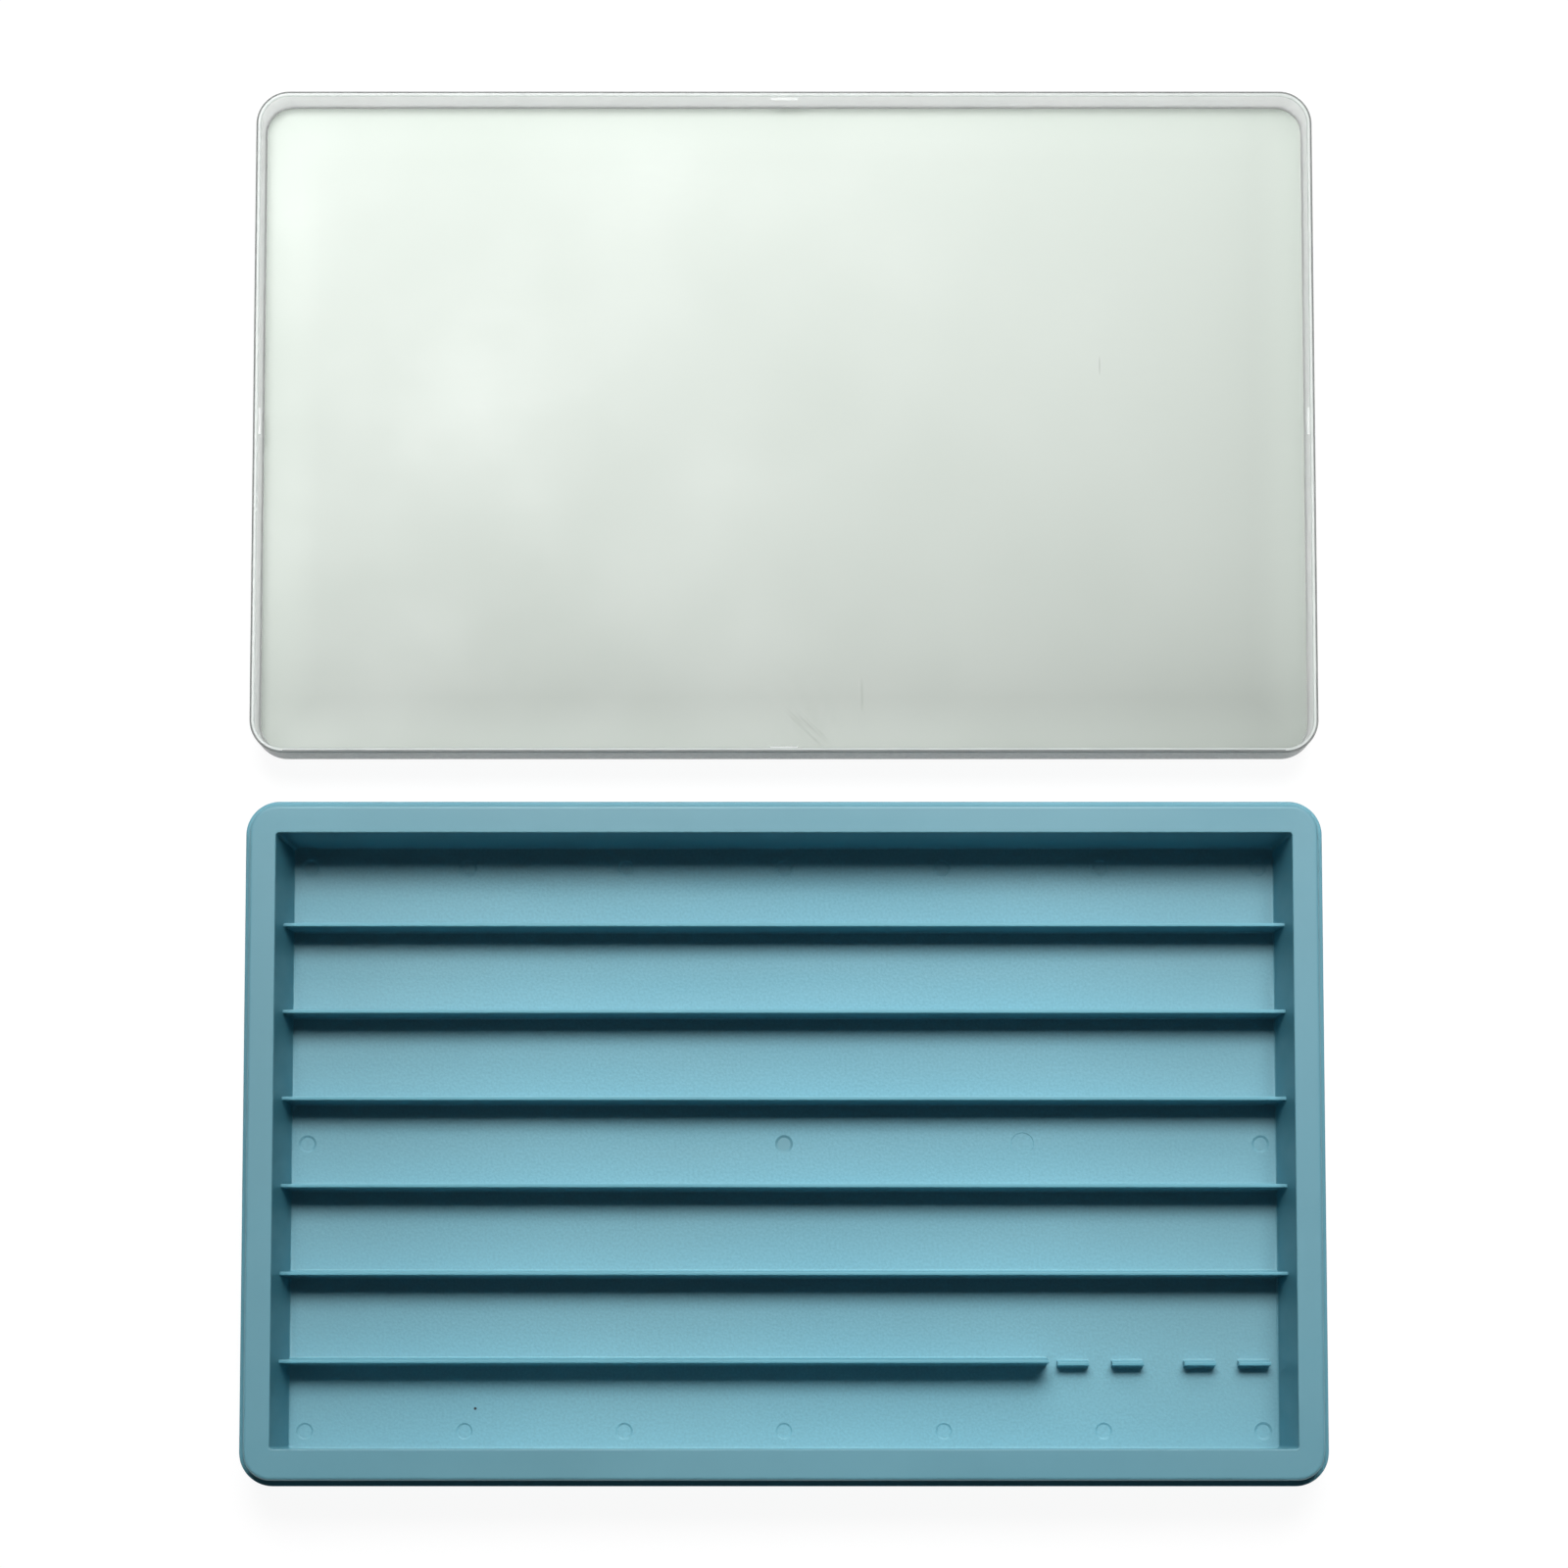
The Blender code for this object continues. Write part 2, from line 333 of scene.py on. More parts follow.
def rib_section(base_t, top_t, top_z):
    """A rib's section: flared root, drafted sides and a rounded nose."""
    foot = base_t / 2 + RIB_ROOT_R
    low = FLOOR_Z - 0.02
    right = [(foot, FLOOR_Z - RIB_SINK)]
    right += arc(foot, low + RIB_ROOT_R, RIB_ROOT_R, -90, -180)
    right += arc(top_t / 2 - RIB_NOSE_R, top_z - RIB_NOSE_R, RIB_NOSE_R, 0, 90, 4)
    left = [(-u, v) for u, v in reversed(right)]
    return right + left


def ribs_and_tabs(centre_y, wall_x):
    """Long ribs across the floor. The front one ends early, and low tabs carry it on."""
    mesh = bmesh.new()
    rib = rib_section(RIB_BASE_T, RIB_TOP_T, RIB_TOP_Z)
    front_y = centre_y - RIB_PITCH * (RIB_COUNT - 1) / 2
    for index in range(RIB_COUNT):
        y = front_y + index * RIB_PITCH
        end = FRONT_RIB_END_X if index == 0 else wall_x
        prism(mesh, rib, -wall_x, end, lambda u, v, along, y=y: (along, y + u, v))
    tab = rib_section(TAB_T, TAB_T * 0.8, TAB_TOP_Z)
    for offset in TAB_OFFSETS:
        start = TAB_CENTRE_X + offset - TAB_L / 2
        prism(mesh, tab, start, start + TAB_L,
              lambda u, v, along: (along, front_y - TAB_FORWARD + u, v))
    return mesh


def pin_marks(centre_y):
    """Shallow discs that the ejector pins leave in the floor."""
    mesh = bmesh.new()
    high = FLOOR_Z + 0.3

    def disc(x, y, radius, depth):
        flare = PIN_SLOPE / PIN_DEPTH * (high - FLOOR_Z + depth)
        frustum(mesh, (x, y), radius - PIN_SLOPE, radius - PIN_SLOPE + flare,
                FLOOR_Z - depth, high)

    wobble = random.Random(4)
    for row in (PIN_FRONT_ROW_Y, PIN_BACK_ROW_Y):
        for column in range(-3, 4):
            depth = PIN_DEPTH * wobble.uniform(0.7, 1.1)
            disc(column * PIN_PITCH_X, centre_y + row, PIN_R, depth)
    disc(-3 * PIN_PITCH_X, centre_y, PIN_R, PIN_DEPTH)
    disc(3 * PIN_PITCH_X, centre_y, PIN_R, PIN_DEPTH)
    disc(0.0, centre_y, PIN_R, PIN_DEPTH)
    disc(1.5 * PIN_PITCH_X, centre_y, PIN_R * 1.5, PIN_DEPTH * 0.35)
    return mesh


def hollow_webs(centre_y):
    """Thin webs across the hollow under the rim, seen from below."""
    mesh = bmesh.new()
    half_x = (TRAY_HI.x - TRAY_LO.x) / 2
    half_y = (TRAY_HI.y - TRAY_LO.y) / 2
    bite = WALL / 2
    top = TRAY_HI.z - WALL + bite / 2
    ledge_top = LEDGE_Z - WALL

    def outline(outer, opening, draft):
        """The web between the inner wall and the stepped outer one."""
        return [
            (opening - draft + bite, WEB_LOW_Z),
            (outer - bite, WEB_LOW_Z),
            (outer - bite, ledge_top),
            (outer - LEDGE_W - bite, ledge_top + bite),
            (outer - LEDGE_W - bite, top),
            (opening + bite, top),
        ]

    open_y = half_y - LEDGE_W - RIM_FLAT_Y
    back_web = outline(half_y, open_y, DRAFT_Y)
    front_web = outline(half_y, open_y - FRONT_LIP_IN, DRAFT_Y - FRONT_FLOOR_OUT - FRONT_LIP_IN)
    short_web = outline(half_x, half_x - LEDGE_W - RIM_FLAT_X, DRAFT_X)
    for index in range(-2, 3):
        x = index * WEB_PITCH
        for sign, web in ((-1, front_web), (1, back_web)):
            prism(mesh, web, x - WEB_T / 2, x + WEB_T / 2,
                  lambda u, v, along, s=sign: (along, centre_y + s * u, v))
    for index in range(-1, 2):
        y = centre_y + index * WEB_PITCH
        for sign in (-1, 1):
            prism(mesh, short_web, y - WEB_T / 2, y + WEB_T / 2,
                  lambda u, v, along, s=sign: (s * u, along, v))
    return mesh


def snap_recesses(centre_y):
    """Pockets in the rim's sides that take the lid's beads when the box is closed."""
    mesh = bmesh.new()
    half_x = (TRAY_HI.x - TRAY_LO.x) / 2 - LEDGE_W
    half_y = (TRAY_HI.y - TRAY_LO.y) / 2 - LEDGE_W
    running_gap = LEDGE_W - LID_WALL
    depth = BEAD_OUT - running_gap + RECESS_MARGIN
    middle_z = LEDGE_Z + running_gap + LID_HI.z - BEAD_Z
    half_h = BEAD_H / 2 + RECESS_MARGIN
    half_l = BEAD_L / 2 + RECESS_MARGIN
    pocket = [(-depth, middle_z - half_h), (1, middle_z - half_h),
              (1, middle_z + half_h), (-depth, middle_z + half_h)]
    for side in mid_edges(half_x, half_y, centre_y):
        prism(mesh, pocket, -half_l, half_l, side)
    return mesh


def build_tray():
    centre_y = (TRAY_LO.y + TRAY_HI.y) / 2
    wall_x = TRAY_HI.x - LEDGE_W - RIM_FLAT_X - 0.5
    body = tray_shape()
    upright_front(body, centre_y)
    tray = to_object("tray_moulding", body)
    join_or_cut(tray, ribs_and_tabs(centre_y, wall_x), "UNION")
    join_or_cut(tray, hollow_webs(centre_y), "UNION")
    join_or_cut(tray, pin_marks(centre_y), "DIFFERENCE")
    join_or_cut(tray, snap_recesses(centre_y), "DIFFERENCE")
    shade(tray)
    tray.data.materials.clear()
    tray.data.materials.append(tray_plastic())
    tray.data.materials.append(tray_plastic_outside())
    mark_outside(tray, TRAY_LO, TRAY_HI, LEDGE_W + 0.1)
    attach(tray, "tray")
    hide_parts("base_tray")
    return tray


# ---------------------------------------------------------------- the lid
def lid_shape():
    """The lid's shell, open upwards: its plate lies on the table and its wall stands."""
    centre_y = (LID_LO.y + LID_HI.y) / 2
    half_x = (LID_HI.x - LID_LO.x) / 2
    half_y = (LID_HI.y - LID_LO.y) / 2
    in_x = half_x - LID_WALL
    in_y = half_y - LID_WALL
    in_r = CORNER_R - LID_WALL
    top_z = LID_HI.z
    inner = 4.0
    stations = soften([
        (in_x - inner, in_y - inner, in_r - inner, LID_PLATE, 0),
        (in_x, in_y, in_r, LID_PLATE, LID_COVE_R),
        (in_x, in_y, in_r, top_z, LID_RIM_R),
        (half_x, half_y, CORNER_R, top_z, LID_RIM_R),
        (half_x, half_y, CORNER_R, 0.0, LID_EDGE_R),
        (half_x - inner, half_y - inner, CORNER_R - inner, 0.0, 0),
    ], steps=7)
    return loft(stations, centre_y)


def snap_beads():
    """Short round-nosed beads inside the lid's wall, one in the middle of each side."""
    mesh = bmesh.new()
    centre_y = (LID_LO.y + LID_HI.y) / 2
    half_x = (LID_HI.x - LID_LO.x) / 2 - LID_WALL
    half_y = (LID_HI.y - LID_LO.y) / 2 - LID_WALL
    nose = BEAD_H / 2
    bead = [(LID_WALL / 2, BEAD_Z - nose), (LID_WALL / 2, BEAD_Z + nose)]
    for step in range(9):
        angle = math.radians(90.0 - 180.0 * step / 8)
        bead.append((-BEAD_OUT * math.cos(angle), BEAD_Z + nose * math.sin(angle)))
    for side in mid_edges(half_x, half_y, centre_y):
        prism(mesh, bead, -BEAD_L / 2, BEAD_L / 2, side)
    return mesh


def build_lid():
    lid = to_object("lid_moulding", lid_shape())
    join_or_cut(lid, snap_beads(), "UNION")
    shade(lid)
    lid.data.materials.clear()
    lid.data.materials.append(lid_plastic("lid_plastic", 1.0))
    lid.data.materials.append(lid_plastic("lid_plastic_outside", LID_OUTSIDE_SHADE_TONE))
    mark_outside(lid, LID_LO, LID_HI, LID_WALL / 2, LID_PLATE * 0.9)
    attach(lid, "lid")
    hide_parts("lid")
    return lid


# ---------------------------------------------------------------- sponge and paper
def sheet_grid(half_x, half_y, radius, cell):
    """A grid of points that fills a rounded rectangle, as rows of (x, y)."""
    columns = round(2 * half_x / cell)
    rows = round(2 * half_y / cell)
    grid = []
    for j in range(rows + 1):
        line = []
        for i in range(columns + 1):
            x = -half_x + 2 * half_x * i / columns
            y = -half_y + 2 * half_y * j / rows
            dx = (abs(x) - (half_x - radius)) / radius
            dy = (abs(y) - (half_y - radius)) / radius
            if dx > 0 and dy > 0:
                ex = dx * math.sqrt(1 - dy * dy / 2)
                ey = dy * math.sqrt(1 - dx * dx / 2)
                x = math.copysign(half_x - radius + ex * radius, x)
                y = math.copysign(half_y - radius + ey * radius, y)
            line.append((x, y))
        grid.append(line)
    return grid


def slab(grid, centre_y, low, high):
    """A closed slab between two height functions of (x, y) over a grid."""
    mesh = bmesh.new()
    layers = []
    for height in (low, high):
        layers.append([[mesh.verts.new((x * MM, (y + centre_y) * MM, height(x, y) * MM))
                        for x, y in line] for line in grid])
    bottom, top = layers
    rows = len(grid) - 1
    columns = len(grid[0]) - 1
    for j in range(rows):
        for i in range(columns):
            mesh.faces.new((top[j][i], top[j][i + 1], top[j + 1][i + 1], top[j + 1][i]))
            mesh.faces.new((bottom[j][i], bottom[j + 1][i],
                            bottom[j + 1][i + 1], bottom[j][i + 1]))
    edge = [(0, i) for i in range(columns)]
    edge += [(j, columns) for j in range(rows)]
    edge += [(rows, i) for i in range(columns, 0, -1)]
    edge += [(j, 0) for j in range(rows, 0, -1)]
    for (j, i), (l, k) in zip(edge, edge[1:] + edge[:1]):
        mesh.faces.new((bottom[j][i], bottom[l][k], top[l][k], top[j][i]))
    return mesh


PAPER_CELL = 1.6
PAPER_R = 6.7
COCKLE = 0.06
COCKLE_BROAD = (46.0, 34.0)
COCKLE_FINE = (15.0, 12.0)
CREASE_X = 6.0
CREASE_Y = -77.0
CREASE_ALONG = (0.62, -0.78)
CREASE_REACH = 13.0
CREASE_HALF_W = 8.0
CREASE_DEPTH = 0.17
CREASE_WAVE = 1.35


def paper_relief(x, y):
    """Height of the paper's surface: a slight cockle, and ripples by the front edge."""
    broad = noise.noise(Vector((x / COCKLE_BROAD[0], y / COCKLE_BROAD[1], 2.0)))
    fine = noise.noise(Vector((x / COCKLE_FINE[0], y / COCKLE_FINE[1], 7.0)))
    cockle = COCKLE * (0.75 * broad + 0.25 * fine)
    run_x, run_y = CREASE_ALONG
    along = (x - CREASE_X) * run_x + (y - CREASE_Y) * run_y
    across = -(x - CREASE_X) * run_y + (y - CREASE_Y) * run_x
    reach = math.exp(-((along / CREASE_REACH) ** 2 + (across / CREASE_HALF_W) ** 2))
    ripple = math.sin(across * CREASE_WAVE + 1.6 * math.sin(along * 0.23))
    return cockle + CREASE_DEPTH * reach * ripple


def build_paper():
    centre_y = (PAPER_LO.y + PAPER_HI.y) / 2
    half_x = (PAPER_HI.x - PAPER_LO.x) / 2
    half_y = (PAPER_HI.y - PAPER_LO.y) / 2
    grid = sheet_grid(half_x, half_y, PAPER_R, PAPER_CELL)

    def low(x, y):
        return PAPER_LO.z + paper_relief(x, y)

    def high(x, y):
        return PAPER_HI.z + paper_relief(x, y)

    paper = to_object("paper_membrane", slab(grid, centre_y, low, high))
    shade(paper, 50)
    paper.data.materials.append(damp_paper())
    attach(paper, "paper")
    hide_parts("palette_paper")
    return paper


SPONGE_R = 6.0
SPONGE_INSETS = (6.0, 3.0)
SPONGE_BULGE = 0.7
SPONGE_SIDE_CELL = 1.1
PORE_DEPTH = 0.35
PORE_SCALE = 0.9
FINE_PORE_SCALE = 2.1


def sponge_shape():
    """A soft-edged slab, its rings dense enough to carry pores round the side."""
    centre_y = (SPONGE_LO.y + SPONGE_HI.y) / 2
    half_x = (SPONGE_HI.x - SPONGE_LO.x) / 2
    half_y = (SPONGE_HI.y - SPONGE_LO.y) / 2
    mesh = bmesh.new()
    outline = []
    base = rounded_rectangle(half_x, half_y, SPONGE_R, 12)
    for (ax, ay), (bx, by) in zip(base, base[1:] + base[:1]):
        run = math.hypot(bx - ax, by - ay)
        pieces = max(1, round(run / SPONGE_SIDE_CELL))
        for k in range(pieces):
            t = k / pieces
            outline.append((ax + (bx - ax) * t, ay + (by - ay) * t))
    low = SPONGE_LO.z
    high = SPONGE_HI.z
    edge_r = (high - low) / 2
    levels = []
    for step in range(11):
        angle = math.radians(-90 + 180 * step / 10)
        inset = SPONGE_BULGE * edge_r * (1 - math.cos(angle))
        levels.append((inset, (low + high) / 2 + edge_r * math.sin(angle)))
    outer, inner = SPONGE_INSETS
    levels = [(outer, low), (inner, low)] + levels + [(inner, high), (outer, high)]
    rings = []
    for inset, z in levels:
        ring = []
        for x, y in outline:
            sx = (half_x - inset) / half_x
            sy = (half_y - inset) / half_y
            ring.append(mesh.verts.new((x * sx * MM, (y * sy + centre_y) * MM, z * MM)))
        rings.append(ring)
    count = len(outline)
    for lower, upper in zip(rings, rings[1:]):
        for i in range(count):
            j = (i + 1) % count
            mesh.faces.new((lower[i], lower[j], upper[j], upper[i]))
    mesh.faces.new(list(reversed(rings[0])))
    mesh.faces.new(rings[-1])
    for vertex in mesh.verts:
        place = vertex.co / MM
        pore = noise.noise(place * PORE_SCALE) + 0.6 * noise.noise(place * FINE_PORE_SCALE)
        inward = min(0.0, pore) * PORE_DEPTH
        centre = Vector((0, centre_y, 0))
        out = (place - centre)
        out.z = 0
        out.normalize()
        side = 1 - abs(place.z - (low + high) / 2) / edge_r
        vertex.co += out * inward * max(side, 0) * MM
    return mesh


def build_sponge():
    sponge = to_object("sponge_pad", sponge_shape())
    shade(sponge, 60)
    sponge.data.materials.append(wet_sponge())
    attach(sponge, "sponge")
    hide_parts("sponge_sheet")
    return sponge


# ---------------------------------------------------------------- materials
class Surface:
    """A Principled material whose nodes are added by short calls."""

    def __init__(self, name):
        self.material = bpy.data.materials.new(name)
        self.material.use_nodes = True
        self.tree = self.material.node_tree
        self.shader = self.tree.nodes["Principled BSDF"]
        self.place = self.node("ShaderNodeTexCoord").outputs["Object"]

    def node(self, kind, **settings):
        made = self.tree.nodes.new(kind)
        for key, value in settings.items():
            setattr(made, key, value)
        return made

    def feed(self, socket, value):
        if isinstance(value, bpy.types.NodeSocket):
            self.tree.links.new(value, socket)
        else:
            socket.default_value = value

    def set(self, **values):
        for key, value in values.items():
            self.feed(self.shader.inputs[key.replace("_", " ")], value)

    def noise(self, scale, detail=3.0, roughness=0.5, stretch=None):
        made = self.node("ShaderNodeTexNoise")
        made.inputs["Scale"].default_value = scale
        made.inputs["Detail"].default_value = detail
        made.inputs["Roughness"].default_value = roughness
        source = self.place
        if stretch is not None:
            mapping = self.node("ShaderNodeMapping")
            mapping.inputs["Scale"].default_value = stretch
            self.feed(mapping.inputs["Vector"], source)
            source = mapping.outputs["Vector"]
        self.feed(made.inputs["Vector"], source)
        return made.outputs["Fac"]

    def cells(self, scale):
        made = self.node("ShaderNodeTexVoronoi")
        made.inputs["Scale"].default_value = scale
        self.feed(made.inputs["Vector"], self.place)
        return made.outputs["Distance"]

    def remap(self, value, low, high, to_low=0.0, to_high=1.0):
        made = self.node("ShaderNodeMapRange")
        for name, number in (("From Min", low), ("From Max", high),
                             ("To Min", to_low), ("To Max", to_high)):
            made.inputs[name].default_value = number
        self.feed(made.inputs["Value"], value)
        return made.outputs["Result"]

    def math(self, operation, a, b=0.0):
        made = self.node("ShaderNodeMath", operation=operation)
        self.feed(made.inputs[0], a)
        self.feed(made.inputs[1], b)
        return made.outputs[0]

    def mix(self, factor, a, b):
        made = self.node("ShaderNodeMix", data_type="RGBA")
        self.feed(made.inputs[0], factor)
        self.feed(made.inputs[6], a)
        self.feed(made.inputs[7], b)
        return made.outputs[2]

    def axis(self, name):
        made = self.node("ShaderNodeSeparateXYZ")
        self.feed(made.inputs[0], self.place)
        return made.outputs[name]

    def reach(self, centre, stretch=(1.0, 1.0, 1.0)):
        """Distance in metres from a point in millimetres, each axis scaled by its share."""
        scaled = self.node("ShaderNodeMapping")
        scaled.inputs["Scale"].default_value = stretch
        self.feed(scaled.inputs["Vector"], self.place)
        made = self.node("ShaderNodeVectorMath", operation="DISTANCE")
        self.feed(made.inputs[0], scaled.outputs["Vector"])
        made.inputs[1].default_value = [c * k * MM for c, k in zip(centre, stretch)]
        return made.outputs["Value"]

    def along(self, direction, start):
        """Metres travelled along a direction of the XY plane from a point in mm."""
        made = self.node("ShaderNodeVectorMath", operation="DOT_PRODUCT")
        self.feed(made.inputs[0], self.place)
        made.inputs[1].default_value = (direction.x, direction.y, 0.0)
        return self.math("SUBTRACT", made.outputs["Value"], direction.dot(start) * MM)

    def line(self, start, end, half_width):
        """A soft mask along a line between two points of the XY plane, in mm."""
        start, end = Vector(start), Vector(end)
        half = (end - start).length / 2
        run = (end - start).normalized()
        across = self.math("ABSOLUTE", self.along(run.orthogonal(), start))
        way = self.math("ABSOLUTE", self.along(run, (start + end) / 2))
        near = self.remap(across, half_width * MM, 0.2 * half_width * MM)
        return self.math("MULTIPLY", near, self.remap(way, half * MM, 0.4 * half * MM))

    def bump(self, height, distance, strength=1.0, under=None):
        made = self.node("ShaderNodeBump")
        made.inputs["Strength"].default_value = strength
        made.inputs["Distance"].default_value = distance
        self.feed(made.inputs["Height"], height)
        if under is not None:
            self.feed(made.inputs["Normal"], under)
        return made.outputs["Normal"]


def shades(colour, *factors):
    """The colour times each factor, as RGBA."""
    return [tuple(c * f for c in colour) + (1.0,) for f in factors]


FLOOR_BLUE = (0.160, 0.372, 0.443)
# The walls and ribs take a deeper blue than the floor: partly the floor's grain making it
# lighter, partly painted shade.
WALL_BLUE = (0.105, 0.325, 0.405)
FRONT_WALL_BLUE = (0.165, 0.420, 0.500)
SIDE_WALL_BLUE = (0.042, 0.185, 0.240)
RIM_BLUE = (0.112, 0.280, 0.340)
FLOOR_DRIFT = (0.128, 0.360, 0.455)
RIM_DRIFT = (0.100, 0.272, 0.345)
# How far the tray's ledge and outer sides darken: painted shade.
TRAY_OUTSIDE_SHADE_TONE = 0.85
TRAY_GRAIN = 0.00006
TRAY_FINE_GRAIN = 0.00002
# How far the left and right walls and the floor's ends go towards a deeper blue. Like the
# front wall's lighter blue, this stands for the photograph's light, not for the moulding.
LEFT_WALL_SHARE = 0.62
RIGHT_WALL_SHARE = 0.26
FLOOR_END_SHARE = 0.5
FLOOR_END_TONE = 0.74
FLOOR_END_FROM = 0.55
PIN_TONE = 0.84
SPECK = (-78.1, -159.4, FLOOR_Z)
SPECK_R = 0.42
SPECK_CORE_R = 0.30
SPECK_BLACK = (0.010, 0.016, 0.018, 1.0)
SCRATCH = (81.6, 108.7, 0.0)
SCRATCH_R = 0.26
SCRATCH_CORE_R = 0.16
SCRATCH_STRETCH = (1.0, 0.09, 0.0)
SCRATCH_TONE = 0.70
CREASES = (
    ((-1.3, 20.5), (12.0, 7.8)),
    ((2.0, 19.6), (12.4, 9.6)),
    ((19.6, 27.5), (19.8, 18.0)),
)
CREASE_HALF_WIDTH = 0.6
CREASE_FOLD = 0.00008
LID_GREY = (0.90, 0.96, 0.93)
# How far the lid's outer faces darken: painted shade.
LID_OUTSIDE_SHADE_TONE = 0.25
# How far the lid's rim top darkens: painted shade.
LID_RIM_SHADE_TONE = 0.52
PAPER_GREY = (0.310, 0.342, 0.312)
# The paper's grey deepens towards the tray and lightens at its border. That stands for
# the photograph's light.
PAPER_FRONT_TONE = 0.63
PAPER_FRONT_SHARE = 0.85
PAPER_FADE_START = 20.0
PAPER_BORDER_W = 14.0
PAPER_BORDER_TONE = 1.22
PAPER_BORDER_SHARE = 0.2
SPONGE_GREY = (0.62, 0.66, 0.60)
TABLE_GLOW = 0.93


def blend(s, colour, low, high, factor):
    """A colour between its own low and high shades, by a factor."""
    return s.mix(factor, *shades(colour, low, high))


def rim_colour(s, patch, drift, tone):
    """The rim's blue, with a slow drift towards a deeper one."""
    rim = blend(s, RIM_BLUE, 0.95 * tone, 1.05 * tone, patch)
    return s.mix(s.math("MULTIPLY", drift, 0.5), rim, shades(RIM_DRIFT, tone)[0])


def rim_height(s):
    """0 on the walls, 1 at the rim's top."""
    return s.remap(s.axis("Z"), (TRAY_HI.z - 1.2) * MM, (TRAY_HI.z - 0.3) * MM)


def tray_wall_colour(s, patch, inner_x):
    """The inner walls' blue: lighter in front, deeper on the left and the right."""
    front_y = TRAY_LO.y + LEDGE_W + RIM_FLAT_Y + FRONT_LIP_IN
    on_front = s.remap(s.axis("Y"), (front_y + 0.6) * MM, (front_y - 0.1) * MM)
    on_left = s.remap(s.axis("X"), (1.5 - inner_x) * MM, -inner_x * MM,
                      0.0, LEFT_WALL_SHARE)
    on_right = s.remap(s.axis("X"), (inner_x - 1.5) * MM, inner_x * MM,
                       0.0, RIGHT_WALL_SHARE)
    wall = blend(s, WALL_BLUE, 0.95, 1.05, patch)
    wall = s.mix(on_front, wall, shades(FRONT_WALL_BLUE, 1.0)[0])
    return s.mix(s.math("ADD", on_left, on_right), wall, shades(SIDE_WALL_BLUE, 1.0)[0])


def tray_floor_colour(s, patch, drift, inner_x, on_pin):
    """The floor's blue: speckled, deeper towards both ends, with one black speck."""
    floor = s.mix(s.math("MULTIPLY", drift, 0.6), blend(s, FLOOR_BLUE, 0.95, 1.03, patch),
                  shades(FLOOR_DRIFT, 1.0)[0])
    speckle = s.remap(s.noise(1500.0, 2.0), 0.35, 0.65)
    floor = s.mix(0.4, floor, blend(s, FLOOR_BLUE, 0.84, 1.12, speckle))
    by_end = s.remap(s.math("ABSOLUTE", s.axis("X")), FLOOR_END_FROM * inner_x * MM,
                     inner_x * MM, 0.0, FLOOR_END_SHARE)
    floor = s.mix(by_end, floor, shades(FLOOR_BLUE, FLOOR_END_TONE)[0])
    floor = s.mix(on_pin, floor, shades(FLOOR_BLUE, PIN_TONE)[0])
    speck = s.remap(s.reach(SPECK), SPECK_R * MM, SPECK_CORE_R * MM)
    return s.mix(speck, floor, SPECK_BLACK)


def tray_plastic():
    """Satin moulded plastic: fine grain on the floor, smoother walls, rim and centre mark."""
    s = Surface("tray_plastic")
    inner_x = TRAY_HI.x - LEDGE_W - RIM_FLAT_X - DRAFT_X
    on_floor = s.remap(s.axis("Z"), (FLOOR_Z + 0.9) * MM, (FLOOR_Z + 0.3) * MM)
    on_pin = s.remap(s.reach((0.0, (TRAY_LO.y + TRAY_HI.y) / 2, FLOOR_Z)),
                     (PIN_R + 0.1) * MM, (PIN_R - 0.1) * MM)
    patch = s.remap(s.noise(22.0, 3.0), 0.3, 0.7)
    drift = s.remap(s.noise(7.0, 2.0), 0.35, 0.65)
    colour = s.mix(on_floor, tray_wall_colour(s, patch, inner_x),
                   tray_floor_colour(s, patch, drift, inner_x, on_pin))
    colour = s.mix(rim_height(s), colour, rim_colour(s, patch, drift, 1.0))
    streak = s.noise(60.0, 4.0, stretch=(0.25, 2.2, 1.0))
    grainy = s.math("MULTIPLY", on_floor, s.math("SUBTRACT", 1.0, on_pin))
    rough = s.math("ADD", s.remap(streak, 0.3, 0.7, 0.40, 0.52),
                   s.math("MULTIPLY", grainy, 0.10))
    grain = s.math("ADD", s.noise(1600.0, 2.0), s.math("MULTIPLY", s.cells(1300.0), 0.6))
    coarse = s.bump(s.math("MULTIPLY", grain, grainy), TRAY_GRAIN, 0.5)
    fine = s.bump(s.noise(2600.0, 2.0), TRAY_FINE_GRAIN, 0.35, coarse)
    s.set(Base_Color=colour, Roughness=rough, Normal=fine, IOR=1.49)
    return s.material


def tray_plastic_outside():
    """The same plastic on the ledge and the outer sides, made darker as painted shade."""
    s = Surface("tray_plastic_outside")
    tone = TRAY_OUTSIDE_SHADE_TONE
    patch = s.remap(s.noise(22.0, 3.0), 0.3, 0.7)
    drift = s.remap(s.noise(7.0, 2.0), 0.35, 0.65)
    wall = blend(s, WALL_BLUE, 0.95 * tone, 1.05 * tone, patch)
    s.set(Base_Color=s.mix(rim_height(s), wall, rim_colour(s, patch, drift, tone)))
    streak = s.noise(60.0, 4.0, stretch=(0.8, 0.8, 2.0))
    s.set(Roughness=s.remap(streak, 0.3, 0.7, 0.40, 0.52))
    s.set(Normal=s.bump(s.noise(2600.0, 2.0), TRAY_FINE_GRAIN, 0.35), IOR=1.49)
    return s.material


